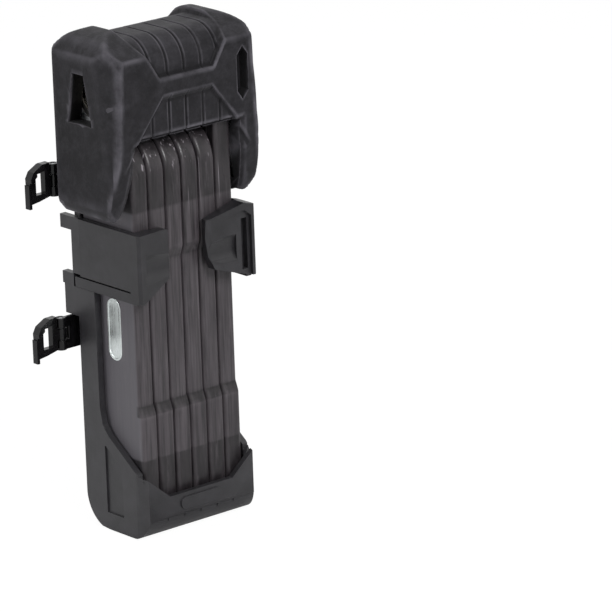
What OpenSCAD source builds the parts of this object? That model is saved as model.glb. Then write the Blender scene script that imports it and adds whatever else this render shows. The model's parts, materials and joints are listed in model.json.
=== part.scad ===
// Folding bike lock, standing in its frame carrier.
// X runs across the stack of bars, with the key end at -X. -Y is the open front of the carrier,
// +Y is the side that straps to a bicycle tube. Z is up, and Z = 0 is the flat underside of the cup.

/* [Bars] */
// Distance from one bar's centre plane to the next
bar_pitch = 8.3; // [8.2:0.1:8.6]
// Distance between the two rivet axes of a bar
bar_reach = 125; // [110:1:145]
// Width of a bar at its rounded ends, over the coat
end_width = 32; // [29:0.5:32.5]
// Width of a bar between its ends, over the coat
waist_width = 30; // [24:0.5:31]
// Thickness of the hardened steel inside a bar
steel_thick = 5.5; // [4.5:0.1:5.6]
// Thickness of the soft coat on each face
coat_thick = 0.9; // [0.6:0.1:1.1]

/* [Rivets] */
// Radius of the rivet shanks
rivet_r = 4; // [3:0.1:5]
// Radius of the spacer washers
washer_r = 7.5; // [6.5:0.1:9]

/* [Lock body] */
// Height of the steel housing
housing_high = 30.5; // [29:0.5:36]
// Thickness of the soft cover over each end of the housing
cover_side = 6.5; // [4.5:0.5:9]
// Thickness of the soft cover over the top of the housing
cover_top = 9; // [7.5:0.5:12]
// Thickness of the soft cover in front of the housing
cover_face = 8; // [6:0.5:10]
// How far the flaps hang below the upper rivet axis
flap_drop = 15; // [13:0.5:17]
// Radius of the lock cylinder
cylinder_r = 8.9; // [8.5:0.1:9.4]
// Radius of the turning plug
plug_r = 6.5; // [6.2:0.1:6.8]
// Number of locking discs in the plug
disc_count = 9; // [5:1:9]
// Radius at which the drive pin turns
pin_reach = 2.4; // [2.2:0.1:2.5]

/* [Carrier] */
// Thickness of the carrier's walls
wall = 2.7; // [2.2:0.1:3.2]
// Height of the cup's front rim
cup_rim = 16.6; // [12:0.2:20]
// Height of the two spring arms
arm_high = 27.7; // [22:0.1:34]
// Gap between the arms and the flaps above them
arm_clear = 4.6; // [2:0.2:8]
// Distance between the two frame bolts
boss_spacing = 64; // [60:1:70]
// Radius of the frame bolt holes
boss_r = 2.75; // [2.5:0.05:3.2]
// How far the middle of the lower strap lies below the arms
strap_drop = 18.9; // [18:0.1:26]
// Distance between the two straps
strap_spacing = 62; // [58:0.5:62]
// Width of the straps
strap_width = 13; // [10:0.5:16]

/* [Hidden] */
$fn = 64;
bar_count = 6;
run_gap = 0.05;
seat_gap = 0.3;
low_z = 3 + end_width / 2;
high_z = low_z + bar_reach;
bar_thick = steel_thick + 2 * coat_thick;
end_r = end_width / 2;
stack_half = bar_pitch * (bar_count - 1) / 2 + bar_thick / 2;
inner_x = stack_half + 0.85;
outer_x = inner_x + wall;
inner_front = -end_r - 1.8;
outer_front = inner_front - 2.5;
back_y = end_r + 0.6;
plate_y = back_y + 3.6;
rail_y = plate_y + 3.4;
housing_y = [-end_r + 2.5, end_r - 2];
housing_low = high_z + end_r + 1.5;
housing_top = housing_low + housing_high;
housing_x = stack_half + 5.6;
cheek = 4;
cover_front = housing_y[0] - cover_face;
cover_back = end_r;
half_width = housing_x + cover_side;
top_z = housing_top + cover_top;
flap_z = high_z - flap_drop;
axis_y = -0.8;
axis_z = housing_low + 14.5;
chamber_x = -5.5;
chamber = [[housing_y[0] + 3.5, housing_y[1] - 1.3], [axis_z - 8.5, axis_z + 8.5]];
notch_y = 2.9;
head_x = 2.5 * bar_pitch;
pin_travel = pin_reach * sqrt(2);
pin_rest = [axis_y - pin_reach / sqrt(2), axis_z - pin_reach / sqrt(2)];
step_low = low_z + 32.5;
step_high = high_z - 32;
buckle_x = -33;
buckle_y = plate_y + 1.6;
arm_top = flap_z - arm_clear;
arm_low = arm_top - arm_high;
slit_z = arm_low + 4.1;
arm_x = outer_x + 0.5;
groove_r = 9;
groove_out = 12.6;
hook_y = -end_r - 1;
strap_z = arm_low - strap_drop;
ear_low = strap_z + strap_width / 2 + 0.4;
ear_y = back_y + 7.9;
boss_low = strap_z - 29.8;
cup_round = 14;
toe_round = 10;
corner_in = (end_r + 0.52) * sqrt(2) - low_z;
black = [0.16, 0.16, 0.17];
rubber = [0.22, 0.22, 0.23];
coat_grey = [0.31, 0.3, 0.31];
gloss = [0.06, 0.06, 0.065];
steel = [0.62, 0.63, 0.65];
silver = [0.82, 0.84, 0.83];
brass = [0.75, 0.62, 0.35];

// Extrudes an outline drawn in Y and Z along X
module along_x(x0, x1) translate([x0, 0, 0]) rotate([90, 0, 90]) linear_extrude(x1 - x0) children();
// Extrudes an outline drawn in X and Z along Y
module along_y(y0, y1) translate([0, y1, 0]) rotate([90, 0, 0]) linear_extrude(y1 - y0) children();
// Extrudes an outline drawn in X and Y along Z
module along_z(z0, z1) translate([0, 0, z0]) linear_extrude(z1 - z0) children();
// A round bar along X
module rod_x(r, x0, x1, y, z) translate([x0, y, z]) rotate([0, 90, 0]) cylinder(r = r, h = x1 - x0);
// A round bar along Y
module rod_y(r, y0, y1, x, z) translate([x, y1, z]) rotate([90, 0, 0]) cylinder(r = r, h = y1 - y0);
// A box given by its two opposite corners
module block(low, high) translate(low) cube(high - low);
// The same shape on both sides of the stack
module both_sides() {
    children();
    mirror([1, 0, 0]) children();
}

function bar_x(i) = (i - (bar_count + 1) / 2) * bar_pitch;

// ---------------------------------------------------------------- folding bars

// Side outline of a bar: rounded ends, a narrower waist, and a straight top on the locking bar
module bar_outline(inset, straight_top) {
    end = end_r - inset;
    waist = waist_width / 2 - inset;
    head_top = housing_low - 1.2 - inset;
    polygon([[-end, low_z], [end, low_z], [end, step_low - 2], [waist, step_low + 2],
             [waist, step_high - 2], [end, step_high + 2], [end, high_z], [-end, high_z],
             [-end, step_high + 2], [-waist, step_high - 2], [-waist, step_low + 2],
             [-end, step_low - 2]]);
    translate([0, low_z]) circle(end);
    if (straight_top)
        translate([-end, high_z - 1]) square([2 * end, head_top - high_z + 1]);
    else
        translate([0, high_z]) circle(end);
}

// Hardened steel core, drilled for its rivets
module bar_core(i) {
    x = bar_x(i);
    color(steel) difference() {
        along_x(x - steel_thick / 2, x + steel_thick / 2)
            bar_outline(coat_thick + run_gap, i == bar_count);
        rod_x(rivet_r + run_gap, x - 5, x + 5, 0, low_z);
        if (i < bar_count) rod_x(rivet_r + run_gap, x - 5, x + 5, 0, high_z);
    }
}

// Soft coat moulded round the core, open over each rivet
module bar_coat(i) {
    x = bar_x(i);
    extra = i == bar_count ? 0.7 : 0;
    color(coat_grey) difference() {
        union() {
            along_x(x - bar_thick / 2, x + bar_thick / 2) bar_outline(0, i == bar_count);
            if (i == bar_count)
                block([x - bar_thick / 2 - 0.4, -end_r, high_z - 5],
                      [x + bar_thick / 2 + 0.5, end_r, housing_low - 1.2]);
        }
        along_x(x - steel_thick / 2, x + steel_thick / 2) bar_outline(coat_thick, i == bar_count);
        rod_x(washer_r + 0.1, x - 6, x + 6, 0, low_z);
        if (i < bar_count)
            rod_x(washer_r + 0.1, x - 6, x + 6, 0, high_z);
        else
            block([head_x - steel_thick / 2, -6.3, housing_low - 4],
                  [head_x + steel_thick / 2, 6.3, housing_low]);
        if (i == 1) badge_shape(x - bar_thick / 2 - 1, x - bar_thick / 2 + 0.35, 0.05);
    }
}

// Stadium outline of the plaque on the first bar
module badge_shape(x0, x1, grow) {
    along_x(x0, x1) {
        translate([-5.6 - grow, low_z + 55]) square([8.2 + 2 * grow, 16.8]);
        translate([-1.5, low_z + 55]) circle(4.1 + grow);
        translate([-1.5, low_z + 71.8]) circle(4.1 + grow);
    }
}

module badge() {
    x = bar_x(1) - bar_thick / 2;
    color(silver) difference() {
        badge_shape(x - 0.55, x + 0.3, 0);
        badge_shape(x - 0.6, x - 0.3, -0.85);
    }
}

// Rivet through the bars on both sides of a gap, with flat heads let into the coats
module rivet(x, z) {
    half = bar_pitch / 2 + steel_thick / 2;
    rod_x(rivet_r, x - half - run_gap, x + half + run_gap, 0, z);
    rod_x(rivet_r + 2, x - half - 0.75, x - half - run_gap, 0, z);
    rod_x(rivet_r + 2, x + half + run_gap, x + half + 0.75, 0, z);
}

module lower_rivets() color(steel) for (i = [1, 3, 5]) rivet(bar_x(i + 0.5), low_z);
module upper_rivets() color(steel) for (i = [2, 4]) rivet(bar_x(i + 0.5), high_z);

// Spacer washer on a rivet, between two steel faces
module washer(x0, x1, z) difference() {
    rod_x(washer_r, x0 + 0.03, x1 - 0.03, 0, z);
    rod_x(rivet_r + run_gap, x0 - 1, x1 + 1, 0, z);
}

module washers() {
    half = (bar_pitch - steel_thick) / 2;
    color(brass) {
        for (i = [1, 3, 5]) washer(bar_x(i + 0.5) - half, bar_x(i + 0.5) + half, low_z);
        for (i = [2, 4]) washer(bar_x(i + 0.5) - half, bar_x(i + 0.5) + half, high_z);
        washer(-housing_x + cheek, bar_x(1) - steel_thick / 2, high_z);
    }
}

// Rivet that ties the first bar to the housing's left cheek
module body_rivet() {
    inside = bar_x(1) + steel_thick / 2;
    color(steel) {
        rod_x(rivet_r, -housing_x - run_gap, inside + run_gap, 0, high_z);
        rod_x(rivet_r + 2, -housing_x - 0.8, -housing_x - run_gap, 0, high_z);
        rod_x(rivet_r + 2, inside + run_gap, inside + 0.75, 0, high_z);
    }
}

// Notched tongue on top of the last bar, held by the latch
module locking_head() {
    base = housing_low - 1.2 - coat_thick;
    color(steel) difference() {
        along_y(-6, 6) polygon([[head_x - steel_thick / 2, base], [head_x + steel_thick / 2, base],
            [head_x + steel_thick / 2, axis_z + 5.5], [head_x + 1.6, axis_z + 7.5],
            [head_x - 1.6, axis_z + 7.5], [head_x - steel_thick / 2, axis_z + 5.5]]);
        block([head_x - 5, notch_y, axis_z - 2.6], [head_x + 5, 7, axis_z + 3.6]);
    }
}

// ---------------------------------------------------------------- lock body

module lock_housing() {
    color(steel) difference() {
        union() {
            block([-housing_x, housing_y[0], housing_low], [housing_x, housing_y[1], housing_top]);
            both_sides() along_x(housing_x - cheek, housing_x) {
                translate([-12, high_z]) square([24, housing_low - high_z + 1]);
                translate([0, high_z]) scale([1, 0.8]) circle(12);
            }
        }
        rod_x(cylinder_r + run_gap, -housing_x - 1, chamber_x + 1, axis_y, axis_z);
        block([chamber_x, chamber[0][0], chamber[1][0]], [housing_x + 1, chamber[0][1], chamber[1][1]]);
        block([head_x - 3.05, -6.3, housing_low - 1], [head_x + 3.05, 6.3, axis_z]);
        block([housing_x - 2.8, housing_y[0] + 0.9, axis_z - 12],
              [housing_x + 1, housing_y[1] - 0.7, axis_z + 12]);
        cap_screw_holes(1 + run_gap);
        rod_x(rivet_r + run_gap, -housing_x - 1, -housing_x + cheek + 1, 0, high_z);
        translate([-12, axis_y, axis_z]) cylinder(r = 1.5 + run_gap, h = 30);
    }
}

module cap_screw_holes(r) {
    for (y = [-9, 9], z = [axis_z - 10.3, axis_z + 10.3]) rod_x(r, housing_x - 10, housing_x - 1, y, z);
}

// Plate that closes the latch chamber
module end_cap() {
    color(steel) difference() {
        block([housing_x - 2.75, housing_y[0] + 1, axis_z - 11.9],
              [housing_x - 0.1, housing_y[1] - 0.8, axis_z + 11.9]);
        cap_screw_holes(1 + run_gap);
        for (y = [-9, 9], z = [axis_z - 10.3, axis_z + 10.3])
            rod_x(1.5 + run_gap, housing_x - 1.2, housing_x + 1, y, z);
    }
}

module cap_screws() {
    color(steel) for (y = [-9, 9], z = [axis_z - 10.3, axis_z + 10.3]) difference() {
        union() {
            rod_x(1, housing_x - 9.8, housing_x - 1.1, y, z);
            rod_x(1.5, housing_x - 1.15, housing_x - 0.2, y, z);
        }
        rod_x(0.7, housing_x - 0.8, housing_x, y, z, $fn = 6);
    }
}

// Cross pin that holds the cylinder in the housing
module cylinder_pin()
    color(steel) translate([-12, axis_y, axis_z + cylinder_r - 1.9])
        cylinder(r = 1.5, h = housing_top - axis_z - cylinder_r + 1.8);

module cylinder_body() {
    color(brass) difference() {
        rod_x(cylinder_r, -housing_x + 0.2, chamber_x, axis_y, axis_z);
        rod_x(plug_r + run_gap, -housing_x - 1, chamber_x + 1, axis_y, axis_z);
        rod_x(0.95, -housing_x + 3, chamber_x + 1, axis_y, axis_z + plug_r);
        translate([-12, axis_y, axis_z + cylinder_r - 1.95]) cylinder(r = 1.5 + run_gap, h = 9);
    }
}

// Keyway outline: an upright slot with round ends
module keyway(x0, x1) {
    block([x0, axis_y - 1.1, axis_z - 2.8], [x1, axis_y + 1.1, axis_z + 2.8]);
    rod_x(1.1, x0, x1, axis_y, axis_z - 2.8);
    rod_x(1.1, x0, x1, axis_y, axis_z + 2.8);
}

// Turning plug: a solid face with the keyway, and a sleeve that holds the discs
module key_plug() {
    color(silver) difference() {
        rod_x(plug_r, -housing_x + 0.4, chamber_x - 0.3, axis_y, axis_z);
        rod_x(plug_r - 1, -housing_x + 3.4, chamber_x + 1, axis_y, axis_z);
        keyway(-housing_x - 1, -housing_x + 5);
        block([-housing_x + 3.4, axis_y - 0.95, axis_z + 3], [chamber_x + 1, axis_y + 0.95, axis_z + 8]);
    }
}

// Stack of locking discs with the key slot through them and a rim notch for the side bar
module locking_discs() {
    pitch = 2.25;
    color(brass) for (i = [0:disc_count - 1]) {
        x = -housing_x + 3.6 + i * pitch;
        difference() {
            rod_x(plug_r - 1.05, x, x + 1.95, axis_y, axis_z);
            keyway(x - 1, x + 3);
            rod_x(1, x - 1, x + 3, axis_y, axis_z + plug_r - 0.95);
        }
    }
}

module side_bar()
    color(steel) rod_x(0.85, -housing_x + 3.6, chamber_x - 0.8, axis_y, axis_z + plug_r - 0.95);

// Cam on the back of the plug, with the pin that drives the latch
module drive_cam() {
    color(steel) {
        rod_x(6, chamber_x + 0.3, -1.2, axis_y, axis_z);
        rod_x(1.2, -1.2, 2.6, pin_rest[0], pin_rest[1]);
        rod_x(plug_r - 1.1, chamber_x - 0.6, chamber_x + 0.3, axis_y, axis_z);
    }
}

// Latch: a slotted plate moved by the cam's pin, an arm, and a tooth in the head's notch
module latch() {
    tooth_y = notch_y + seat_gap;
    color(steel) difference() {
        union() {
            block([-0.9, -8.5, axis_z - 7], [2.4, 9, axis_z + 7]);
            block([2.4, 6.6, axis_z - 4], [24, 9, axis_z + 5]);
            block([head_x - 2.35, tooth_y, axis_z - 2.2], [head_x + 2.35, 6.6, axis_z + 3.2]);
        }
        block([-2, pin_rest[0] - 1.55, pin_rest[1] - 2.3], [3, pin_rest[0] + 1.55, pin_rest[1] + 1.6]);
        rod_y(1.95, 5.2, 10, head_x, axis_z + 0.5);
    }
}

// Coil spring behind the latch's tooth, swept along a helix
module latch_spring() {
    turns = 5;
    steps = 14;
    sides = 6;
    coil = 1.5;
    wire = 0.27;
    y0 = 5.2 + wire + 0.05;
    y1 = chamber[0][1] - wire - 0.05;
    rings = turns * steps;
    points = [for (k = [0:rings], s = [0:sides - 1])
        let (a = 360 * k / steps, b = 360 * s / sides, r = coil + wire * cos(b))
        [head_x + r * cos(a), y0 + (y1 - y0) * k / rings + wire * sin(b), axis_z + 0.5 + r * sin(a)]];
    sidewall = [for (k = [0:rings - 1], s = [0:sides - 1])
        let (n = (s + 1) % sides)
        [k * sides + s, k * sides + n, (k + 1) * sides + n, (k + 1) * sides + s]];
    first = [for (s = [0:sides - 1]) sides - 1 - s];
    last = [for (s = [0:sides - 1]) rings * sides + s];
    color(steel) polyhedron(points, concat([first], sidewall, [last]), convexity = 10);
}

// Outer block of the cover: front, side and top outlines crossed
module cover_block() {
    half = half_width;
    low = flap_z;
    intersection() {
        along_y(cover_front - 1, cover_back + 1) polygon([
            [-half + 3, low], [half - 3, low], [half, low + 5], [half, top_z - 8.3], [half - 4.3, top_z - 3],
            [half - 8.5, top_z - 0.8], [half - 12, top_z], [12, top_z - 2.5], [-12, top_z - 2.5],
            [-half + 12, top_z], [-half + 8.5, top_z - 0.8], [-half + 4.3, top_z - 3],
            [-half, top_z - 8.3], [-half, low + 5]]);
        along_x(-half - 1, half + 1) polygon([
            [cover_back - 2, low], [cover_back, low + 4], [cover_back, top_z - 6.5],
            [cover_back - 3.6, top_z - 2.2], [cover_back - 9, top_z], [-5, top_z], [-12, top_z - 2.8],
            [cover_front, top_z - 8.6], [cover_front, low + 27], [cover_front + 1.4, low + 18],
            [cover_front + 5, low + 5], [cover_front + 7.5, low]]);
        along_z(low - 1, top_z + 1) polygon([
            [-half, cover_front + 9.1], [-half + 2.6, cover_front], [half - 2.6, cover_front],
            [half, cover_front + 9.1],
            [half, cover_back - 1], [half - 1, cover_back], [-half + 1, cover_back],
            [-half, cover_back - 1]]);
    }
}

// Soft cover over the housing: arch over the bars, key window, relief and grip grooves
module body_cover() {
    arch_z = high_z + end_r - 0.2;
    field_y = cover_front + 3;
    recess_y = cover_front + 5;
    color(rubber) difference() {
        cover_block();
        block([-housing_x - 0.2, housing_y[0] - 0.2, arch_z - 3],
              [housing_x + 0.2, housing_y[1] + 0.2, housing_top + 0.2]);
        along_y(cover_front - 1, cover_back + 1) polygon([
            [-stack_half - 5, flap_z - 1], [-stack_half - 2.2, high_z + 4],
            [-stack_half - 1.4, high_z + 7], [-stack_half + 1.8, arch_z],
            [stack_half + 1.5, arch_z], [stack_half + 1.7, high_z + 7],
            [stack_half + 2.4, high_z + 4], [stack_half + 5, flap_z - 1]]);
        block([-stack_half - 0.5, -end_r - 0.5, high_z - 10],
              [stack_half + 1.5, end_r, arch_z + 0.6]);
        both_sides() block([stack_half + 1, -12.2, high_z - 10],
                           [housing_x + 0.2, 12.2, arch_z + 1]);
        rod_x(rivet_r + 2.2, -housing_x - 1.1, -housing_x + 1, 0, high_z);
        along_x(-half_width - 1, -housing_x) polygon([
            [axis_y - 7.3, axis_z - 10], [axis_y + 7.3, axis_z - 10], [axis_y + 3.6, axis_z + 9.7],
            [axis_y - 3.1, axis_z + 9.7]]);
        along_y(cover_front - 1, field_y + 1) polygon([
            [-20.5, arch_z - 1], [20.5, arch_z - 1], [13.5, axis_z - 1.5], [-13.5, axis_z - 1.5]]);
        along_y(cover_front - 1, field_y) polygon([
            [-12.5, axis_z + 8.5], [12.5, axis_z + 8.5], [20, top_z], [-20, top_z]]);
        along_y(cover_front - 1, recess_y) polygon([
            [24.5, axis_z - 5], [27, axis_z - 8.5], [30, axis_z - 5], [30, axis_z + 9],
            [27.5, axis_z + 12.5], [24.5, axis_z + 9]]);
        for (i = [-2:1]) block([(i + 0.5) * bar_pitch - 0.35, field_y - 0.5, arch_z - 1],
                               [(i + 0.5) * bar_pitch + 0.35, field_y + 1.6, axis_z - 2]);
    }
}

// ---------------------------------------------------------------- carrier

// Side outline of the carrier: cup, sloping rim, and the upright that carries the arm
module side_outline() difference() {
    polygon([
        [outer_front, 0], [back_y - 0.2, 0], [back_y - 0.2, ear_low], [ear_y, ear_low],
        [ear_y, arm_low], [ear_y + 1, arm_low], [ear_y + 1, arm_low + 4.8],
        [back_y + 2.4, arm_low + 4.8], [back_y + 2.4, arm_top - 5.4], [ear_y + 1, arm_top - 5.4],
        [ear_y + 1, arm_top], [back_y - 2.3, arm_top], [back_y - 2.3, arm_low + 5.1],
        [back_y + 2, arm_low + 5.1], [back_y + 2, arm_low - seat_gap], [6.2, arm_low - seat_gap],
        [6, 50], [4.6, 43], [1.2, 39], [outer_front + 4.8, 27], [outer_front, 22]]);
    corner_waste(back_y - 0.2 - cup_round, cup_round, cup_round, 1);
    corner_waste(outer_front + toe_round, toe_round, toe_round, -1);
}

// What a rounded lower corner takes away: its square less its circle
module corner_waste(y, z, r, side) difference() {
    translate([side > 0 ? y : y - r - 1, -1]) square([r + 1, z + 1]);
    translate([y, z]) circle(r);
}

// Plan outline of the carrier with its front corners cut
module plan_outline(x, front, cut) polygon([
    [-x, 40], [-x, front + 3.4 * cut], [-x + 1.7, front], [x - 1.7, front], [x, front + 3.4 * cut],
    [x, 40]]);

module carrier_shell() {
    floor_z = low_z - end_r - 0.4;
    color(black) difference() {
        union() {
            intersection() {
                along_x(-outer_x, outer_x) side_outline();
                along_z(-1, arm_top + 1) plan_outline(outer_x, outer_front, 1.7);
                along_y(-60, 60) polygon([[-outer_x + 1, 0], [outer_x - 1, 0], [outer_x, 1],
                    [outer_x, arm_top + 1], [-outer_x, arm_top + 1], [-outer_x, 1]]);
            }
            intersection() {
                along_x(-outer_x, outer_x) polygon([[outer_front, 8], [outer_front, 30],
                    [inner_front - 0.5, 30], [inner_front - 0.5, 8]]);
                along_z(-1, arm_top + 1) plan_outline(outer_x, outer_front, 1.7);
            }
        }
        intersection() {
            along_x(-inner_x, inner_x) polygon([
                [inner_front + 6.8, floor_z], [4, floor_z], [corner_in + 4.9, 4.9],
                [back_y - 0.3, back_y - 0.3 - corner_in], [40, back_y - 0.3 - corner_in],
                [40, arm_top + 1], [inner_front, arm_top + 1], [inner_front, 6.5]]);
            along_z(0, arm_top + 1) plan_outline(inner_x, inner_front, 0.6);
        }
        along_y(-40, outer_front + 4.8) polygon([
            [-outer_x - 1, cup_rim + 10.6], [-outer_x + 1.5, cup_rim + 8.9], [-outer_x + 12.2, cup_rim],
            [outer_x - 12.2, cup_rim], [outer_x - 1.5, cup_rim + 8.9], [outer_x + 1, cup_rim + 10.6],
            [outer_x + 1, 190], [-outer_x - 1, 190]]);
        both_sides() along_x(outer_x - 0.7, outer_x + 1)
            polygon([[-6.2, 7.5], [3.9, 7.5], [3.9, 35], [-6.2, 28]]);
        for (i = [-2:2]) block([(i - 0.1) * 8.2 - 0.5, outer_front - 1, 3.6],
                               [(i - 0.1) * 8.2 + 0.5, outer_front + 0.7, 8]);
    }
    color(black) along_y(outer_front - 0.6, outer_front + 0.1) {
        translate([-8.3, cup_rim - 6.7]) square([15.4, 5]);
        translate([-8.3, cup_rim - 4.2]) circle(2.5);
        translate([7.1, cup_rim - 4.2]) circle(2.5);
    }
}

// Flat back with bosses for the frame bolts, and two rails that cradle the tube
module back_plate() {
    low = 14;
    high = strap_z + strap_spacing + 11;
    color(black) difference() {
        union() {
            block([-inner_x + 0.2, back_y, low], [inner_x - 0.2, plate_y, high]);
            both_sides() along_z(low + 4, high - 3) polygon([
                [9, plate_y - 0.1], [17, plate_y - 0.1], [15.5, rail_y + 2.4], [13.5, rail_y + 2.4],
                [9, rail_y]]);
            for (z = [boss_low, boss_low + boss_spacing]) rod_y(7.5, plate_y - 1, rail_y - 0.8, 0, z);
        }
        for (z = [boss_low, boss_low + boss_spacing]) {
            rod_y(boss_r, back_y - 1, rail_y + 1, 0, z);
            rod_y(5.3, back_y - 1, back_y + 3.2, 0, z);
        }
        for (z = [strap_z, strap_z + strap_spacing])
            block([-40, plate_y, z - strap_width / 2 - 0.3], [40, plate_y + 2.4, z + strap_width / 2 + 0.3]);
    }
}

// Soft strips on the rails, which grip the tube
module tube_pads() {
    color(rubber) both_sides() for (z = [[20, strap_z - strap_width], [strap_z + strap_width, strap_z + 46]])
        along_z(z[0], z[1]) polygon([
        [9.1, rail_y + 0.15], [13.4, rail_y + 2.44], [12.9, rail_y + 3.6], [8.6, rail_y + 1.2]]);
}

// Spring arm: a band along the side wall, a panel above it, and a hook round the front
module arm_side() {
    union() {
        block([arm_x - 2.5, outer_front - 0.7, arm_low], [arm_x, back_y, slit_z]);
        translate([arm_x - 1.25, back_y, arm_low]) cylinder(r = 1.25, h = slit_z - arm_low);
        block([arm_x - 2.5, outer_front - 0.7, slit_z - 0.1], [arm_x, outer_front + 2.1, slit_z + 0.7]);
        block([arm_x - 2.5, outer_front - 0.7, slit_z + 0.6], [arm_x, back_y - 2.8, arm_top]);
    }
}

// Shallow grip groove across the front of a hook
module hook_groove() rod_x(groove_r, -arm_x + 3.5, arm_x - 8, hook_y - groove_out, arm_low + 13.3);

module left_arm() {
    color(black) difference() {
        union() {
            mirror([1, 0, 0]) arm_side();
            intersection() {
                along_y(hook_y - 10, 0) polygon([
                    [-arm_x, arm_low + 0.5], [-arm_x + 2, arm_low + 0.3], [-arm_x + 5.5, arm_low + 2.2],
                    [-arm_x + 17.3, arm_low + 8.8], [-arm_x + 17.3, arm_top - 2.8],
                    [-arm_x + 15.6, arm_top - 0.5], [-arm_x + 13.5, arm_top], [-arm_x, arm_top]]);
                along_z(arm_low - 1, arm_top + 1) polygon([
                    [-arm_x, hook_y], [-arm_x, hook_y - 4.9], [-arm_x + 1, hook_y - 6.2],
                    [-arm_x + 15.6, hook_y - 4.8], [-arm_x + 17.3, hook_y - 2.8],
                    [-arm_x + 16.6, hook_y - 0.6], [-arm_x + 2.4, hook_y + 0.1]]);
            }
        }
        hook_groove();
    }
}

module right_arm() {
    color(black) {
        arm_side();
        difference() {
            intersection() {
                along_y(hook_y - 10, 0) polygon([
                    [arm_x + 1.9, arm_low + 1], [arm_x - 2.5, arm_low + 1], [arm_x - 18.5, arm_low + 6.2],
                    [arm_x - 20.8, arm_low + 11.4], [arm_x - 21.6, arm_low + 19],
                    [arm_x - 21.2, arm_low + 26.2], [arm_x - 15.5, arm_top], [arm_x - 4.5, arm_top + 2.8],
                    [arm_x + 0.4, arm_top + 1.6], [arm_x + 1.9, arm_top - 0.8]]);
                along_z(arm_low - 1, arm_top + 4) polygon([
                    [arm_x - 0.1, hook_y + 4], [arm_x + 1.9, hook_y - 0.5], [arm_x + 1.9, hook_y - 4.5],
                    [arm_x - 0.2, hook_y - 6.9], [arm_x - 5.5, hook_y - 6.5],
                    [arm_x - 19.5, hook_y - 4.4], [arm_x - 21.6, hook_y - 2.8],
                    [arm_x - 21, hook_y - 0.4], [arm_x - 2.4, hook_y + 0.1], [arm_x - 2.4, hook_y + 4]]);
            }
            block([arm_x - 5.4, hook_y - 8, arm_low + 3.7], [arm_x - 2.6, hook_y - 2.6, arm_top - 3.6]);
            along_y(hook_y - 8, hook_y - 5.2) polygon([
                [0, arm_low], [arm_x - 1.4, arm_low], [arm_x - 1.4, arm_top - 2.6],
                [arm_x - 4.9, arm_top], [arm_x - 15.2, arm_top - 2.8], [0, arm_low + 23]]);
            hook_groove();
        }
    }
}

// Strap across the back of the carrier, with an eye at its buckle end and a T-head at the other
module strap(z) {
    half = strap_width / 2;
    color(gloss) difference() {
        union() {
            block([buckle_x + 1.5, plate_y + 0.2, z - half], [inner_x - 2, plate_y + 2.1, z + half]);
            block([inner_x - 4, plate_y + 0.2, z - half], [inner_x, plate_y + 3.6, z + half]);
            translate([buckle_x, buckle_y, z - half]) cylinder(r = 2.2, h = strap_width);
        }
        translate([buckle_x, buckle_y, z - half - 1]) cylinder(r = 1.05, h = strap_width + 2);
        block([buckle_x - 4, buckle_y - 4, z - half + 4], [buckle_x + 2.8, buckle_y + 4, z + half - 4]);
    }
}

module upper_strap() strap(strap_z + strap_spacing);
module lower_strap() strap(strap_z);

module buckle_pin(z) color(steel)
    translate([buckle_x, buckle_y, z - strap_width / 2 + 0.3]) cylinder(r = 1, h = strap_width - 0.6);
module upper_buckle_pin() buckle_pin(strap_z + strap_spacing);
module lower_buckle_pin() buckle_pin(strap_z);

// Buckle: a frame with a slot for the strap's tail, a knuckle on the pin and a thin outer tail
module buckle(z) {
    half = strap_width / 2;
    color(gloss) difference() {
        union() {
            along_y(buckle_y - 1.4, buckle_y + 1.4) polygon([
                [buckle_x - 2.8, z - half + 0.6], [buckle_x - 8, z - half - 0.6],
                [buckle_x - 12.2, z - half - 1.2], [buckle_x - 12.6, z + 2.5],
                [buckle_x - 11.2, z + half - 1.5], [buckle_x - 7, z + half + 0.8],
                [buckle_x - 2.8, z + half + 1]]);
            along_y(buckle_y - 2.6, buckle_y + 0.6) polygon([
                [buckle_x - 12.6, z + 1], [buckle_x - 12.8, z + 2.5], [buckle_x - 11.4, z + half - 1.3],
                [buckle_x - 7, z + half + 1.2], [buckle_x - 5, z + half + 1.2],
                [buckle_x - 6.5, z + half - 1]]);
            block([buckle_x - 13, buckle_y - 1.4, z - half - 3], [buckle_x - 11.8, buckle_y + 1.4, z]);
            block([buckle_x - 3.4, buckle_y - 1.4, z - half + 4.3],
                  [buckle_x, buckle_y + 1.4, z + half - 4.3]);
            translate([buckle_x, buckle_y, z - half + 4.3]) cylinder(r = 2.1, h = strap_width - 8.6);
        }
        translate([buckle_x, buckle_y, z - half]) cylinder(r = 1.05, h = strap_width);
        block([buckle_x - 9.6, buckle_y - 4, z - 4.4], [buckle_x - 5.2, buckle_y + 4, z + 4.4]);
    }
}

module upper_buckle() buckle(strap_z + strap_spacing);
module lower_buckle() buckle(strap_z);

carrier_shell();
back_plate();
tube_pads();
left_arm();
right_arm();
upper_strap();
lower_strap();
upper_buckle();
lower_buckle();
upper_buckle_pin();
lower_buckle_pin();
for (i = [1:6]) bar_core(i);
for (i = [1:6]) bar_coat(i);
lower_rivets();
upper_rivets();
body_rivet();
washers();
locking_head();
badge();
lock_housing();
end_cap();
cap_screws();
cylinder_pin();
body_cover();
cylinder_body();
key_plug();
locking_discs();
side_bar();
drive_cam();
latch();
latch_spring();
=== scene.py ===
import json
import math

import bmesh
import bpy
import numpy as np
from mathutils import Matrix


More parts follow.
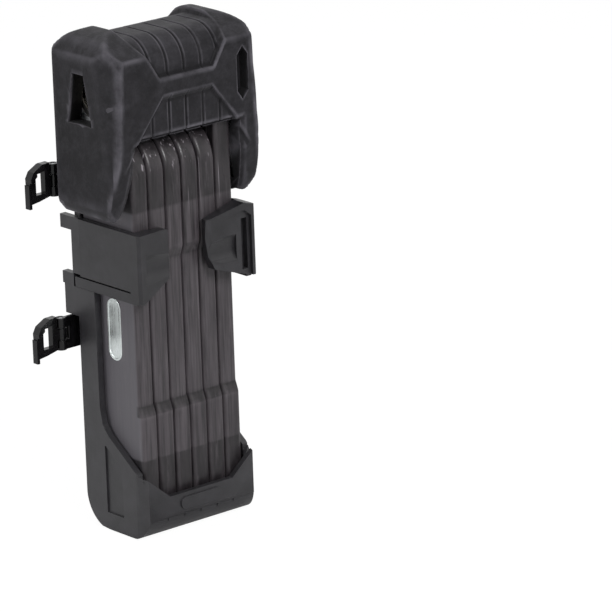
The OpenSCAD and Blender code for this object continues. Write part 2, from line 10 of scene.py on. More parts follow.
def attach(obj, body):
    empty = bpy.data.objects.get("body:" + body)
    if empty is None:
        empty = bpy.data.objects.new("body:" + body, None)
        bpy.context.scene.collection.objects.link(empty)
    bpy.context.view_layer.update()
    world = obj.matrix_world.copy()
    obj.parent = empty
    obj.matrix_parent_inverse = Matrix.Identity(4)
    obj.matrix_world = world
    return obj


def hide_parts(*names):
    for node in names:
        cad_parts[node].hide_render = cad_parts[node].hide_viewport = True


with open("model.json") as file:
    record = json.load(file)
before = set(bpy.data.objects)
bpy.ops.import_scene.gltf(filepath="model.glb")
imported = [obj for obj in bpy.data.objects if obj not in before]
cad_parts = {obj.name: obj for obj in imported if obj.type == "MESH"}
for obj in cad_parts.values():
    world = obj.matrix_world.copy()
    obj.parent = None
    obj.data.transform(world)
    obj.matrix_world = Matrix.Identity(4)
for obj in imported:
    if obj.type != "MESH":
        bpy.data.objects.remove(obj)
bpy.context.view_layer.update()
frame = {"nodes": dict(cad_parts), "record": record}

milli = 0.001
print("stage: frame loaded")


def gridQuads(rows, cols, ring=False):
    # faces of a grid of points counted row by row; ring joins the last column to the first
    r = np.arange(rows - 1)[:, None]
    c = np.arange(cols if ring else cols - 1)[None, :]
    n = (c + 1) % cols
    corners = [r * cols + c, r * cols + n, (r + 1) * cols + n, (r + 1) * cols + c]
    return np.stack(corners, -1).reshape(-1, 4)


def makePiece(name, points, faces, weld=0.02):
    # points in millimetres; doubles are merged and every face is turned outwards
    mesh = bpy.data.meshes.new(name)
    mesh.vertices.add(len(points))
    mesh.vertices.foreach_set("co", (np.asarray(points, float) * milli).ravel())
    mesh.loops.add(faces.size)
    mesh.loops.foreach_set("vertex_index", faces.ravel().astype(np.int32))
    mesh.polygons.add(len(faces))
    mesh.polygons.foreach_set("loop_start", np.arange(0, faces.size, faces.shape[1], dtype=np.int32))
    mesh.update(calc_edges=True)
    work = bmesh.new()
    work.from_mesh(mesh)
    bmesh.ops.remove_doubles(work, verts=work.verts, dist=weld * milli)
    bmesh.ops.dissolve_degenerate(work, edges=work.edges, dist=1e-6)
    bmesh.ops.recalc_face_normals(work, faces=work.faces)
    work.to_mesh(mesh)
    work.free()
    piece = bpy.data.objects.new(name, mesh)
    bpy.context.scene.collection.objects.link(piece)
    return piece


def outlineBlock(name, outline, low, high, axis):
    # an outline carried straight from low to high along x, y or z, with flat ends
    outline = np.asarray(outline, float)
    n = len(outline)
    order = {"x": (2, 0, 1), "y": (0, 2, 1), "z": (0, 1, 2)}[axis]
    flat = [np.c_[outline, np.full(n, value)] for value in (low, high)]
    points = np.concatenate(flat)[:, list(order)]
    work = bmesh.new()
    verts = [work.verts.new(p * milli) for p in points]
    k = range(n)
    work.faces.new([verts[i] for i in k])
    work.faces.new([verts[n + i] for i in reversed(k)])
    for i in k:
        work.faces.new([verts[i], verts[n + i], verts[n + (i + 1) % n], verts[(i + 1) % n]])
    bmesh.ops.triangulate(work, faces=[f for f in work.faces if len(f.verts) > 4])
    bmesh.ops.recalc_face_normals(work, faces=work.faces)
    mesh = bpy.data.meshes.new(name)
    work.to_mesh(mesh)
    work.free()
    piece = bpy.data.objects.new(name, mesh)
    bpy.context.scene.collection.objects.link(piece)
    return piece


def settle(piece, smoothUnder=32):
    # the modifiers are worked into the mesh, and edges sharper than the angle stay crisp
    graph = bpy.context.evaluated_depsgraph_get()
    made = bpy.data.meshes.new_from_object(piece.evaluated_get(graph))
    piece.modifiers.clear()
    piece.data = made
    made.polygons.foreach_set("use_smooth", np.ones(len(made.polygons), bool))
    made.set_sharp_from_angle(angle=math.radians(smoothUnder))
    return piece


def carve(piece, cutters, smoothUnder=32):
    # each cutter is taken out of the piece and then thrown away
    for cutter in cutters:
        cut = piece.modifiers.new("cut", "BOOLEAN")
        cut.operation = "DIFFERENCE"
        cut.solver = "MANIFOLD"
        cut.object = cutter
    settle(piece, smoothUnder)
    for cutter in cutters:
        bpy.data.objects.remove(cutter)
    return piece


def circleOutline(y, z, radius, count=72):
    turn = np.arange(count) * 2 * np.pi / count
    return np.c_[y + radius * np.cos(turn), z + radius * np.sin(turn)]


def softCopy(node, name, width, smoothUnder=32, segments=3):
    # the CAD piece's own shape, merged, cleared of flat seams and given rounded edges
    mesh = bpy.data.objects[frame["nodes"][node].name].data.copy()
    work = bmesh.new()
    work.from_mesh(mesh)
    bmesh.ops.remove_doubles(work, verts=work.verts, dist=1e-6)
    bmesh.ops.dissolve_limit(work, angle_limit=math.radians(0.6), verts=work.verts, edges=work.edges)
    bmesh.ops.recalc_face_normals(work, faces=work.faces)
    work.to_mesh(mesh)
    work.free()
    mesh.materials.clear()
    piece = bpy.data.objects.new(name, mesh)
    bpy.context.scene.collection.objects.link(piece)
    bevel = piece.modifiers.new("edges", "BEVEL")
    bevel.width = width * milli
    bevel.segments = segments
    bevel.limit_method = "ANGLE"
    bevel.angle_limit = math.radians(28)
    settle(piece, smoothUnder)
    flats = piece.modifiers.new("flats", "WEIGHTED_NORMAL")
    flats.keep_sharp = True
    return settle(piece, smoothUnder)


def smoothStep(low, high, value):
    t = np.clip((value - low) / (high - low), 0, 1)
    return t * t * (3 - 2 * t)


def place(piece, body, slot, material, *nodes):
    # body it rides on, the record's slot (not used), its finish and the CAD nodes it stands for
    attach(piece, body)
    if nodes:
        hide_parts(*nodes)
    piece.data.materials.clear()
    piece.data.materials.append(material)
    return piece


class Wire:
    # a socket that can be added and multiplied; each sign makes a Math node
    def __init__(self, graph, socket):
        self.graph, self.socket = graph, socket

    def math(self, kind, other):
        return self.graph.node("ShaderNodeMath", {"operation": kind}, {0: self, 1: other})

    def __add__(self, other):
        return self.math("ADD", other)

    def __mul__(self, other):
        return self.math("MULTIPLY", other)


class Graph:
    # the nodes of a material or world, each made from its kind, settings and inputs
    def __init__(self, tree):
        self.tree = tree

    def node(self, kind, settings, inputs, output=0):
        made = self.tree.nodes.new(kind)
        for name, value in settings.items():
            setattr(made, name, value)
        for name, value in inputs.items():
            socket = made.inputs[name]
            if isinstance(value, Wire):
                self.tree.links.new(value.socket, socket)
            else:
                socket.default_value = value
        return Wire(self, made.outputs[output])

    def show(self, name, shader):
        # the shader becomes what the tree's output node shows
        self.tree.links.new(shader.socket, self.tree.nodes[name].inputs["Surface"])


class Finish(Graph):
    # one procedural material on Object coordinates, in metres
    def __init__(self, name, **fixed):
        self.material = bpy.data.materials.new(name)
        self.material.use_nodes = True
        super().__init__(self.material.node_tree)
        self.shader = self.tree.nodes["Principled BSDF"]
        for socket, value in fixed.items():
            self.shader.inputs[socket.replace("_", " ")].default_value = value
        self.place = self.node("ShaderNodeTexCoord", {}, {}, "Object")

    def noise(self, scale, detail=3, rough=0.55, at=None, stretch=None):
        where = at or self.place
        if stretch:
            where = self.node("ShaderNodeVectorMath", {"operation": "MULTIPLY"}, {0: where, 1: stretch})
        return self.node("ShaderNodeTexNoise", {}, {"Vector": where, "Scale": scale, "Detail": detail,
                                                    "Roughness": rough}, "Fac")

    def span(self, value, low, high, a=0.0, b=1.0):
        # straight from a to b as the value goes from low to high, and held outside
        return self.node("ShaderNodeMapRange", {"clamp": True}, {"Value": value, "From Min": low,
                         "From Max": high, "To Min": a, "To Max": b}, "Result")

    def between(self, value, low, lowFull, highFull, high):
        # 0 outside low and high, and 1 between the two full values
        return self.span(value, low, lowFull) * self.span(value, high, highFull)

    def mix(self, amount, a, b):
        return self.node("ShaderNodeMix", {"data_type": "RGBA"}, {0: amount, 6: a, 7: b}, 2)

    def axes(self):
        split = self.node("ShaderNodeSeparateXYZ", {}, {0: self.place})
        return [Wire(self, socket) for socket in split.socket.node.outputs]

    def edge(self, low, high):
        # rises along outer edges, or along inner ones when high is the smaller
        return self.span(self.node("ShaderNodeNewGeometry", {}, {}, "Pointiness"), low, high)

    def bump(self, height, depth, strength=1.0, under=None):
        inputs = {"Height": height, "Distance": depth, "Strength": strength}
        if under:
            inputs["Normal"] = under
        return self.node("ShaderNodeBump", {}, inputs, "Normal")

    def link(self, **sockets):
        for name, wire in sockets.items():
            self.tree.links.new(wire.socket, self.shader.inputs[name.replace("_", " ")])
        return self.material


def grey(level, red=1.05, blue=1.14):
    # a near-black grey with a faint violet cast
    return (level * red, level, level * blue, 1)


def plasticFinish(name, level, rough, grain=0.00008, worn=0.5, scale=2600, mirror=0.5):
    # moulded plastic: fine spark grain, cloudy roughness, hair scratches and edges rubbed paler
    finish = Finish(name, Specular_IOR_Level=mirror)
    cloud = finish.noise(34, 4, 0.6)
    fine = finish.noise(scale, 2, 0.5)
    haze = finish.span(finish.noise(150, 5, 0.7), 0.45, 0.75)
    hair = finish.span(finish.noise(700, 3, 0.7, stretch=(1, 1, 0.06)), 0.64, 0.7)
    edges = finish.edge(0.506, 0.56) * worn * finish.span(finish.noise(160, 3), 0.3, 0.7)
    base = finish.mix(finish.span(cloud, 0.3, 0.7), grey(level * 0.75), grey(level * 1.25))
    base = finish.mix(haze * 0.4 + hair * 0.25, base, grey(level * 1.9 + 0.004))
    base = finish.mix(edges, base, grey(level * 2.5 + 0.05))
    shine = finish.span(cloud, 0.25, 0.75, rough - 0.06, rough + 0.07) + fine * 0.05
    return finish.link(Base_Color=base, Roughness=shine, Normal=finish.bump(fine, grain, 0.6))


# box where the cover is coloured near black as painted shade in the well behind the key window, and the
# heights over which it grows paler towards the top
keyWell = {"x": (-0.0358, -0.0352, -0.0305, -0.0295), "y": (-0.0095, -0.0088, 0.008, 0.0088),
           "z": (0.1655, 0.1662, 0.186, 0.187), "paleTopFrom": 0.186, "paleTopFull": 0.2}


def rubberFinish(name, level, mirror=0.16):
    # matte silicone: dusty cloudy tone, paler rubbed edges, painted shade in the hollows, paler towards the
    # top, and painted shade in the well behind the key window
    finish = Finish(name, Specular_IOR_Level=mirror, Sheen_Weight=0.04, Sheen_Roughness=0.5)
    x, y, z = finish.axes()
    cloud = finish.noise(48, 5, 0.62)
    dust = finish.span(finish.noise(210, 5, 0.72), 0.44, 0.7)
    brush = finish.span(finish.noise(520, 4, 0.7, stretch=(0.35, 1, 0.35)), 0.52, 0.72)
    fine = finish.noise(1500, 3, 0.6)
    edges = finish.edge(0.5015, 0.535) * finish.span(finish.noise(90, 4, 0.6), 0.28, 0.62)
    # painted shade: hollows found by low pointiness are coloured darker
    hollowShade = finish.edge(0.4985, 0.47)
    base = finish.mix(finish.span(cloud, 0.32, 0.68), grey(level * 0.6), grey(level * 1.3))
    base = finish.mix(dust * 0.5 + brush * 0.2, base, grey(level * 2.4))
    base = finish.mix(edges * 0.8, base, grey(level * 4 + 0.05))
    base = finish.mix(hollowShade * 0.6, base, grey(level * 0.4))
    # paler towards the top, in patches of the dust noise
    paleTop = finish.span(z, keyWell["paleTopFrom"], keyWell["paleTopFull"]) * dust
    base = finish.mix(paleTop * 0.35, base, grey(level * 3.4))
    # painted shade: the well behind the key window is coloured near black
    wellShade = finish.between(x, *keyWell["x"]) * finish.between(z, *keyWell["z"])
    wellShade = wellShade * finish.between(y, *keyWell["y"])
    base = finish.mix(wellShade * 0.93, base, grey(0.0015))
    shine = finish.span(cloud, 0.3, 0.7, 0.52, 0.68) + wellShade * -0.2
    return finish.link(Base_Color=base, Roughness=shine, Normal=finish.bump(fine, 0.00014, 0.55))


# bands of the bars' marks: the lit side face is a painted highlight, the tips and step facets are painted
# shade, and the hair band holds painted highlight streaks
coatBands = {"litSideFace": (-0.0243, -0.0247), "front": (-0.0125, -0.0138), "highTipShade": (0.1304, 0.1316),
             "lowTipShade": (0.0322, 0.0314), "lowStep": (0.0490, 0.0497, 0.0532, 0.0540),
             "highStep": (0.1095, 0.1102, 0.114, 0.1148), "highlightStreaks": (0.125, 0.145)}


def coatGrey(level):
    return grey(level, 1.14, 1.1)


def coatFinish(name, level):
    # soft coat of the bars: drawn streaks along each bar, a painted highlight on the left side face, darker
    # polished tips whose darkness is painted shade, step facets darkened by painted shade, and painted
    # highlight streaks near the top
    finish = Finish(name, Specular_IOR_Level=0.32)
    x, y, z = finish.axes()
    streak = finish.noise(900, 4, 0.65, stretch=(1, 1, 0.03))
    cloud = finish.noise(60, 4, 0.6, stretch=(1, 1, 0.35))
    fine = finish.noise(2200, 2, 0.5)
    flat = finish.mix(finish.span(streak, 0.38, 0.62), coatGrey(level * 0.5), coatGrey(level * 1.5))
    flat = finish.mix(finish.span(cloud, 0.3, 0.7) * 0.5, flat, coatGrey(level * 0.55))
    # painted highlight: the bar's left side face is coloured paler, as if lit by the side lamp
    flat = finish.mix(finish.span(x, *coatBands["litSideFace"]) * 0.75, flat, grey(level * 2.6, 1.05, 1.12))
    # painted shade: the top ends near the lock body and the bottom ends in the carrier cup are coloured
    # darker, and are made glossier
    tipShade = finish.span(z, *coatBands["highTipShade"]) + finish.span(z, *coatBands["lowTipShade"])
    front = finish.span(y, *coatBands["front"])
    flat = finish.mix(tipShade * 0.85, flat, coatGrey(level * 0.16))
    # painted shade: the front facets at the lower and upper width steps are coloured darker; the lower one is
    # also made rougher
    facetShade = finish.between(z, *coatBands["lowStep"]) * front
    rise = finish.between(z, *coatBands["highStep"]) * front
    flat = finish.mix((facetShade + rise * 0.6) * 0.8, flat, coatGrey(level * 0.12))
    scuff = finish.span(finish.noise(420, 5, 0.75, stretch=(1, 1, 0.1)), 0.56, 0.72)
    # painted highlight streaks: bright hair-thin streaks on the upper bars stand for glossy highlights
    hair = finish.span(finish.noise(800, 2, 0.6, stretch=(1, 1, 0.02)), 0.63, 0.68)
    hair = hair * finish.span(z, *coatBands["highlightStreaks"])
    edges = finish.edge(0.505, 0.56) * finish.span(finish.noise(300, 3, stretch=(1, 1, 0.2)), 0.3, 0.6)
    flat = finish.mix(scuff * 0.25 + edges * 0.5, flat, coatGrey(level * 2.6 + 0.04))
    flat = finish.mix(hair * 0.75, flat, grey(level * 4 + 0.1, 1.1, 1.1))
    shine = finish.span(cloud, 0.3, 0.7, 0.34, 0.48) + tipShade * -0.08 + facetShade * 0.2
    relief = finish.bump(streak * 0.6 + fine * 0.4, 0.00008, 0.6)
    return finish.link(Base_Color=flat, Roughness=shine, Normal=relief)


def metalFinish(name, tint, rough, brush=(1, 1, 1), worn=0.12):
    # bare or plated metal: brushed lines, cloudy polish
    finish = Finish(name, Metallic=1.0)
    line = finish.noise(1400, 3, 0.6, stretch=brush)
    cloud = finish.noise(120, 3, 0.6)
    dull = tuple(c * (1 - worn * 2) for c in tint)
    base = finish.mix(finish.span(cloud, 0.3, 0.7), (*tint, 1), (*dull, 1))
    shine = finish.span(line, 0.3, 0.7, rough - 0.06, rough + 0.1)
    return finish.link(Base_Color=base, Roughness=shine, Normal=finish.bump(line, 0.00004, 0.4))


rubber = rubberFinish("siliconeCover", 0.015, 0.1)
coat = coatFinish("barCoat", 0.042)
cupPlastic = plasticFinish("carrierPlastic", 0.016, 0.4, worn=0.08, mirror=0.46)
armPlastic = plasticFinish("armPlastic", 0.012, 0.33, worn=0.15, mirror=0.4)
platePlastic = plasticFinish("backPlatePlastic", 0.012, 0.46, worn=0.1)
glossPlastic = plasticFinish("strapPlastic", 0.002, 0.13, grain=0.00002, worn=0.08, mirror=0.3)
padRubber = rubberFinish("padRubber", 0.012)
# a dark metal tint for the cylinder that shows in the key window
darkNickel = metalFinish("darkCylinderMetal", (0.16, 0.155, 0.15), 0.32)
hardSteel = metalFinish("hardenedSteel", (0.52, 0.53, 0.55), 0.34, (1, 0.1, 1))
brassMetal = metalFinish("brassMetal", (0.72, 0.55, 0.27), 0.3)
nickel = metalFinish("plugNickel", (0.72, 0.69, 0.6), 0.22)
badgeSilver = metalFinish("badgeSilver", (0.78, 0.83, 0.82), 0.26, (1, 1, 0.05))
springSteel = metalFinish("springSteel", (0.6, 0.61, 0.63), 0.25)
print("stage: finishes")


coverSizes = {"columns": 196, "loop": 286, "centre": (-2.5, 165.0), "straight": 30.5, "soft": 0.3,
              "front": -21.5, "back": 16.0, "side": 36.5, "top": 201.0, "low": 129.0,
              "barrelTop": 198.4, "barrelFront": -19.6, "barrelRound": 12.0, "barrelBack": 15.2,
              "fieldFront": -20.1, "bandLow": 175.2, "bandHigh": 183.2, "groove": 0.6, "grooved": 19,
              "pitch": 8.3, "rimLow": 159.8, "rimSide": 160.5, "rimHalf": 23, "rimHigh": 1.0, "reach": 62.0}
coverOutlines = {
    "front": [(-33.5, 129), (33.5, 129), (36.5, 134), (36.5, 192.7), (32.2, 198), (28, 200.2), (24.5, 201),
              (-24.5, 201), (-28, 200.2), (-32.2, 198), (-36.5, 192.7), (-36.5, 134)],
    "side": [(-14, 129), (14, 129), (16, 133), (16, 194.5), (12.4, 198.8), (7, 201), (-5, 201),
             (-12, 198.2), (-21.5, 192.4), (-21.5, 156), (-20.1, 147), (-16.5, 134)],
    "plan": [(-33.9, -21.5), (33.9, -21.5), (36.5, -12.4), (36.5, 15), (35.5, 16), (-35.5, 16),
             (-36.5, 15), (-36.5, -12.4)]}


def outlineFaces(outline, across, up):
    # the straight sides of an outline as planes: outward normal in the two given axes, and reach
    p = np.asarray(outline, float)
    q = np.roll(p, -1, 0)
    d = (q - p) / np.linalg.norm(q - p, axis=1, keepdims=True)
    normal = np.zeros((len(p), 3))
    normal[:, across], normal[:, up] = d[:, 1], -d[:, 0]
    reach = (normal[:, across] * p[:, 0] + normal[:, up] * p[:, 1])
    return normal, reach


def coverField(p):
    # softest maximum of the facets, blended with a lower barrel and fields between the raised arms
    s = coverSizes
    front = outlineFaces(coverOutlines["front"], 0, 2)
    side = outlineFaces(coverOutlines["side"], 1, 2)
    plan = outlineFaces(coverOutlines["plan"], 0, 1)
    corner = np.array([[sign * 0.95, -0.31, 0.051] for sign in (-1, 1)])
    corner /= np.linalg.norm(corner, axis=1, keepdims=True)
    atCorner = corner @ np.array([0, -21.5, 192.4]) + np.abs(corner[:, 0]) * 32.6
    normals = np.concatenate([front[0], side[0], plan[0][[0, 2, 3, 4, 5, 6]], corner])
    reaches = np.concatenate([front[1], side[1], plan[1][[0, 2, 3, 4, 5, 6]], atCorner])
    keep = np.unique(np.round(np.c_[normals, reaches], 4), axis=0)
    values = p @ keep[:, :3].T - keep[:, 3]
    top = values.max(1)
    block = top + s["soft"] * np.log(np.exp((values - top[:, None]) / s["soft"]).sum(1))
    x, y, z = p.T
    ax = np.abs(x)
    middle = (s["barrelFront"] + s["barrelBack"]) / 2
    half = (s["barrelBack"] - s["barrelFront"]) / 2 - s["barrelRound"]
    qy = np.abs(y - middle) - half
    qz = z - (s["barrelTop"] - s["barrelRound"])
    barrel = np.hypot(np.maximum(qy, 0), np.maximum(qz, 0)) + np.minimum(np.maximum(qy, qz), 0)
    barrel = barrel - s["barrelRound"]
    rib = np.abs((x / s["pitch"] + 0.5) % 1 - 0.5) * s["pitch"]
    groove = s["groove"] * (1 - smoothStep(0.1, 0.75, rib)) * (ax < s["grooved"])
    barrel = barrel + groove
    edgeUp = np.interp(z, [183.2, 190.8, 196, 198], [13.2, 17.8, 21.1, 21.7])
    inUp = smoothStep(-0.55, 0.75, edgeUp - ax) * smoothStep(-0.5, 0.7, z - s["bandHigh"])
    edgeLow = np.interp(z, [150, 161.9, 175.2], [30, 22.9, 11.9])
    inLow = smoothStep(-0.55, 0.75, edgeLow - ax) * smoothStep(-0.5, 0.7, s["bandLow"] - z) * (y < 0)
    field = s["fieldFront"] - y + groove
    lower = np.maximum(block, barrel)
    result = block + (lower - block) * inUp
    result = result + (np.maximum(result, field) - result) * inLow
    left, right = archEdge(z)
    near = np.minimum(x - left, right - x)
    rim = smoothStep(-2.4, 0.4, near) * (z < s["rimSide"])
    overTop = 1 - smoothStep(0, 1.6, z - s["rimLow"])
    rim = rim + overTop * (z >= s["rimLow"]) * (ax < s["rimHalf"])
    return result + s["rimHigh"] * rim * (y < -10)


def archEdge(z):
    # the opening's left and right edges over the bars, by height
    left = np.interp(z, [129, 137, 150, 158.5, 159.8], [-29.6, -28.0, -26.4, -26.0, -22.9])
    right = np.interp(z, [129, 150, 159.8], [29.2, 26.4, 25.9])
    return left, right


def coverSurface():
    # rays leave a straight centre line; each is followed until the field changes sign, by halving
    s = coverSizes
    cy, cz = s["centre"]
    wide, tall = s["back"] - s["front"], s["top"] - s["low"]
    run = np.arange(s["loop"]) / s["loop"] * 2 * (wide + tall)
    y = np.interp(run, [0, wide, wide + tall, 2 * wide + tall, 2 * (wide + tall)],
                  [s["front"], s["back"], s["back"], s["front"], s["front"]])
    z = np.interp(run, [0, wide, wide + tall, 2 * wide + tall, 2 * (wide + tall)],
                  [s["low"], s["low"], s["top"], s["top"], s["low"]])
    spread = np.linspace(-s["straight"], s["straight"], s["columns"])
    starts = []
    shrink = np.r_[0, 0.03, 0.06, np.linspace(0.1, 1, 18)[:-1], 0.985]
    for sign in (-1, 1):
        cap = [((sign * s["straight"]), (sign * s["side"], k)) for k in 1 - shrink]
        ledge = (5.2, 4.3, 3.3, 2.2, 1.1)
        cap += [((sign * s["straight"]), (sign * (s["straight"] + d), 1.0)) for d in ledge]
        starts.append(cap)
    rows = starts[0][:-5][::-1] + starts[0][-5:] + [(x, (x, 1.0)) for x in spread]
    rows += starts[1][-5:][::-1] + starts[1][:-5]
    origin = np.array([a for a, _ in rows])
    aimX = np.array([b[0] for _, b in rows])
    scale = np.array([b[1] for _, b in rows])
    start = np.stack(np.broadcast_arrays(origin[:, None], cy, cz * np.ones(len(y))[None, :]), -1)
    start = start.reshape(-1, 3)
    aim = np.stack(np.broadcast_arrays(aimX[:, None], cy + (y - cy)[None, :] * scale[:, None],
                                       cz + (z - cz)[None, :] * scale[:, None]), -1).reshape(-1, 3)
    way = aim - start
    way /= np.linalg.norm(way, axis=1, keepdims=True)
    near, far = np.zeros(len(way)), np.full(len(way), s["reach"])
    for _ in range(26):
        half = (near + far) / 2
        inside = coverField(start + way * half[:, None]) < 0
        near, far = np.where(inside, half, near), np.where(inside, far, half)
    points = start + way * near[:, None]
    return points, gridQuads(len(rows), len(y), ring=True), len(rows), len(y)


coverCuts = {
    "arch": ([(-30.5, 120), (-29.6, 129), (-28.0, 137), (-26.4, 150), (-26.0, 158.5), (-22.9, 159.8),
              (25.9, 159.8), (26.4, 150), (29.2, 129), (30, 120)], -30, 30, "y"),
    "pocket": ([(-13.7, 155), (14.2, 155), (14.2, 192.2), (-13.7, 192.2)], -30.2, 30.2, "x"),
    "cheek": ([(-12.2, 134), (12.2, 134), (12.2, 165), (-12.2, 165)], -30.2, 30.2, "x"),
    "window": ([(-8.1, 166), (6.5, 166), (2.8, 185.7), (-3.9, 185.7)], -40, -29, "x"),
    "notch": ([(24.5, 171), (27, 167.5), (30, 171), (30, 185), (27.5, 188.5), (24.5, 185)], -30, -16.5, "y")}


def coverPiece():
    points, quads, rows, cols = coverSurface()
    ends = np.array([points[:cols].mean(0), points[-cols:].mean(0)])
    c = np.arange(cols)
    n = (c + 1) % cols
    first, last = np.full(cols, len(points)), np.full(cols, len(points) + 1)
    lastRow = (rows - 1) * cols
    caps = np.concatenate([np.stack([n, c, first, first], -1),
                           np.stack([c + lastRow, n + lastRow, last, last], -1)])
    points = np.concatenate([points, ends])
    piece = makePiece("bodyCover", points, np.concatenate([quads, caps]), weld=0.001)
    piece.modifiers.new("tri", "TRIANGULATE")
    settle(piece)
    return carve(piece, [outlineBlock(name, *cut) for name, cut in coverCuts.items()], 40)


bodyCover = place(coverPiece(), "lock", "cover_silicone", rubber, "body_cover")
print("stage: soft cover", len(bodyCover.data.polygons))


barSizes = {"pitch": 8.3, "thick": 7.9, "steel": 5.5, "skin": 1.2, "low": 19.0, "high": 144.0, "end": 16.0,
            "waist": 14.4, "lowStep": 51.5, "highStep": 112.0, "slope": 2.0, "round": 1.7, "hole": 7.6,
            "headTop": 160.3, "slotHalf": 6.3, "slotLow": 157.5, "slotHigh": 163.0}
badgeSizes = {"middle": -1.5, "round": 4.15, "high": 71.8, "low": 55.0, "deep": 0.35}


def barOutline(inset, straight, count=150):
    # half width by height on both edges, with round ends or a straight top; symmetric left to right
    s = barSizes
    low, high, end, waist = s["low"], s["high"], s["end"] - inset, s["waist"] - inset
    quarter = np.linspace(0, np.pi / 2, 26)
    bottom = np.c_[end * np.sin(quarter), low - end * np.cos(quarter)]
    z = np.linspace(low, high, count)[1:-1]
    half = np.interp(z, [s["lowStep"] - s["slope"], s["lowStep"] + s["slope"], s["highStep"] - s["slope"],
                         s["highStep"] + s["slope"]], [end, waist, waist, end])
    if straight:
        tops = s["headTop"] - inset
        rise = np.linspace(high, tops, 14)
        over = np.linspace(1, 0, 16)[1:]
        top = np.concatenate([np.c_[np.full(14, end), rise], np.c_[end * over, np.full(15, tops)]])
    else:
        top = np.c_[end * np.cos(quarter), high + end * np.sin(quarter)]
    right = np.concatenate([bottom, np.c_[half, z], top])
    left = right[1:-1][::-1] * [-1, 1]
    return np.concatenate([right, left])


def barSolid(name, x, half, inset, rounding, straight):
    # rings shrink from the outline to the bar's middle line on both faces; the rim is a quarter round
    s = barSizes
    edge = barOutline(inset, straight)
    spine = np.c_[np.zeros(len(edge)), np.clip(edge[:, 1], s["low"], s["high"] + (6 if straight else 0))]
    turn = np.linspace(0, np.pi / 2, 6)
    reach = np.linalg.norm(edge - spine, axis=1, keepdims=True)
    rings = []
    for share in (0, 0.25, 0.5, 0.75, 0.88):
        rings.append((-half, spine + (edge - spine) * share))
    for a in turn:
        inward = (edge - spine) / reach * rounding * (1 - np.sin(a))
        rings.append((-half + rounding * (1 - np.cos(a)), edge - inward))
    rings += [(-xs, ring) for xs, ring in rings[::-1]]
    points = np.concatenate([np.c_[np.full(len(ring), x + xs), ring] for xs, ring in rings])
    return makePiece(name, points, gridQuads(len(rings), len(edge), ring=True), weld=0.004)


def barCoat(i):
    # coat i of six, with its steel core, rivet holes, and badge seat or head slot taken out
    s = barSizes
    x = (i - 3.5) * s["pitch"]
    straight = i == 6
    piece = barSolid(f"bar{i}Coat", x, s["thick"] / 2, 0, s["round"], straight)
    cutters = [barSolid("core", x, s["steel"] / 2, s["skin"], 0.05, straight),
               outlineBlock("hole", circleOutline(0, s["low"], s["hole"]), x - 6, x + 6, "x")]
    if not straight:
        cutters.append(outlineBlock("hole", circleOutline(0, s["high"], s["hole"]), x - 6, x + 6, "x"))
    else:
        slot = [(-s["slotHalf"], s["slotLow"]), (s["slotHalf"], s["slotLow"]),
                (s["slotHalf"], s["slotHigh"]), (-s["slotHalf"], s["slotHigh"])]
        cutters.append(outlineBlock("slot", slot, x - s["steel"] / 2, x + s["steel"] / 2, "x"))
    if i == 1:
        b = badgeSizes
        ends = [circleOutline(b["middle"], s["low"] + b[end], b["round"], 48) for end in ("high", "low")]
        ring = np.concatenate([ends[0][:25], ends[1][24:]])
        cutters.append(outlineBlock("badgeSeat", ring, x - 5, x - s["thick"] / 2 + b["deep"], "x"))
    return carve(piece, cutters, 35)


for i in range(1, 7):
    place(barCoat(i), "lock", "bar_coat", coat, f"bar_{i}_coat")
print("stage: bar coats")


softPieces = [("carrier_shell", "carrierShell", 0.55, "carrier", "carrier_plastic", cupPlastic),
              ("back_plate", "backPlate", 0.4, "carrier", "carrier_plastic", platePlastic),
              ("left_arm", "leftArm", 0.5, "left_arm", "carrier_plastic", armPlastic),
              ("right_arm", "rightArm", 0.5, "right_arm", "carrier_plastic", armPlastic),
              ("tube_pads", "tubePads", 0.3, "carrier", "pad_rubber", padRubber),
              ("upper_strap", "upperStrap", 0.3, "carrier", "strap_plastic", glossPlastic),
              ("lower_strap", "lowerStrap", 0.3, "carrier", "strap_plastic", glossPlastic),
              ("upper_buckle", "upperBuckle", 0.35, "upper_buckle", "strap_plastic", glossPlastic),
              ("lower_buckle", "lowerBuckle", 0.35, "lower_buckle", "strap_plastic", glossPlastic),
              ("badge", "badgePlate", 0.2, "lock", "badge_metal", badgeSilver)]
for node, name, width, body, slot, material in softPieces:
    place(softCopy(node, name, width), body, slot, material, node)
print("stage: carrier, arms and straps")


finishOf = {"hardened_steel": hardSteel, "brass": brassMetal, "plug_nickel": nickel,
            "spring_steel": springSteel, "badge_metal": badgeSilver, "carrier_plastic": cupPlastic,
            "strap_plastic": glossPlastic, "pad_rubber": padRubber, "bar_coat": coat, "cover_silicone": rubber}
ownFinish = {"cylinder_body": darkNickel}
for part in frame["record"]["subparts"]:
    mesh = frame["nodes"][part["node"]].data
    mesh.materials.clear()
    mesh.materials.append(ownFinish.get(part["node"], finishOf[part["material_slot"]]))
print("stage: metal finishes")


floorSizes = {"half": 6.0, "tone": 0.9, "rough": 0.9, "mirror": 0.1, "white": 0.9, "glow": 1.06}


def floorFinish():
    # pale floor; the camera sees most of it as clean white, and the shadow stays in the rest
    f = floorSizes
    finish = Finish("studioFloor", Base_Color=(f["tone"],) * 3 + (1,), Roughness=f["rough"],
                    Specular_IOR_Level=f["mirror"])
    seen = finish.node("ShaderNodeLightPath", {}, {}, "Is Camera Ray") * f["white"]
    glow = finish.node("ShaderNodeEmission", {}, {"Strength": f["glow"]})
    matte = Wire(finish, finish.shader.outputs[0])
    finish.show("Material Output", finish.node("ShaderNodeMixShader", {}, {0: seen, 1: matte, 2: glow}))
    return finish.material


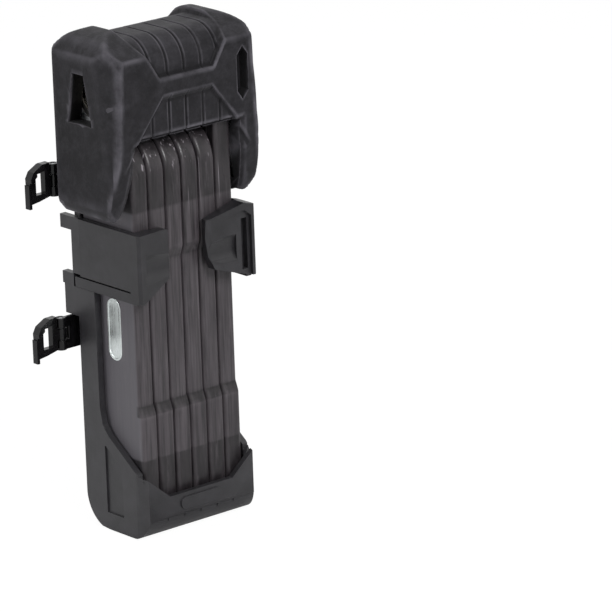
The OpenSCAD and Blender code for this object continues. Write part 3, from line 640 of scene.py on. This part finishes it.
def studioFloor():
    h = floorSizes["half"]
    mesh = bpy.data.meshes.new("studioFloor")
    mesh.from_pydata([(-h, -h, 0), (h, -h, 0), (h, h, 0), (-h, h, 0)], [], [(0, 1, 2, 3)])
    mesh.materials.append(floorFinish())
    floor = bpy.data.objects.new("studioFloor", mesh)
    bpy.context.scene.collection.objects.link(floor)


studioFloor()

lampSizes = {"key": ((-0.2, -1.05, 0.85), 0.45, 12.5), "side": ((-1.2, 0.5, 0.35), 0.45, 5.2),
             "right": ((0.9, -0.7, 0.35), 0.4, 0.4), "top": ((0.05, 0.35, 1.15), 0.6, 4.8)}
lampAim = (0, 0, 0.1)


def squareLamp(name, spot, size, power):
    # a square lamp at spot that faces the middle of the object
    light = bpy.data.lights.new(name, "AREA")
    light.shape = "SQUARE"
    light.size = size
    light.energy = power
    lamp = bpy.data.objects.new(name, light)
    back = np.array(spot) - np.array(lampAim)
    back = back / np.linalg.norm(back)
    right = np.cross([0, 0, 1], back)
    right = right / np.linalg.norm(right)
    turned = np.c_[right, np.cross(back, right), back, spot]
    lamp.matrix_world = Matrix([[*row] for row in turned] + [[0, 0, 0, 1]])
    bpy.context.scene.collection.objects.link(lamp)


for name, (spot, size, power) in lampSizes.items():
    squareLamp(name + "Lamp", spot, size, power)

worldSizes = {"ambient": (0.62, 0.63, 0.65, 1), "strength": 0.25}


def studioWorld():
    # dim grey light all round; camera, clear and mirror rays see white instead
    world = bpy.data.worlds.new("studio")
    bpy.context.scene.world = world
    world.use_nodes = True
    graph = Graph(world.node_tree)
    ambient = graph.tree.nodes["Background"]
    ambient.inputs["Color"].default_value = worldSizes["ambient"]
    ambient.inputs["Strength"].default_value = worldSizes["strength"]
    white = graph.node("ShaderNodeBackground", {}, {"Color": (1, 1, 1, 1)})
    camera, clear, mirror = [graph.node("ShaderNodeLightPath", {}, {}, f"Is {kind} Ray")
                             for kind in ("Camera", "Transmission", "Glossy")]
    seen = camera.math("MAXIMUM", clear).math("MAXIMUM", mirror)
    dim = Wire(graph, ambient.outputs[0])
    graph.show("World Output", graph.node("ShaderNodeMixShader", {}, {0: seen, 1: dim, 2: white}))


studioWorld()

cameraSizes = {"place": (-1.136820, -1.426648, 0.639156), "lens": 288.90, "sensor": 36.0,
               "near": 0.05, "far": 50.0,
               "right": (0.75589015, -0.65392454, -0.03182402), "up": (0.21365944, 0.20044421, 0.9561233),
               "ahead": (0.61885355, 0.72952369, -0.29123096)}


def studioCamera():
    view = cameraSizes
    lens = bpy.data.cameras.new("studioCamera")
    lens.lens = view["lens"]
    lens.sensor_width = view["sensor"]
    lens.clip_start = view["near"]
    lens.clip_end = view["far"]
    camera = bpy.data.objects.new("studioCamera", lens)
    turned = np.c_[view["right"], view["up"], -np.array(view["ahead"]), view["place"]]
    camera.matrix_world = Matrix([[*row] for row in turned] + [[0, 0, 0, 1]])
    bpy.context.scene.collection.objects.link(camera)
    bpy.context.scene.camera = camera


studioCamera()
bpy.context.scene.view_settings.view_transform = "Standard"
print("stage: floor, light and camera")
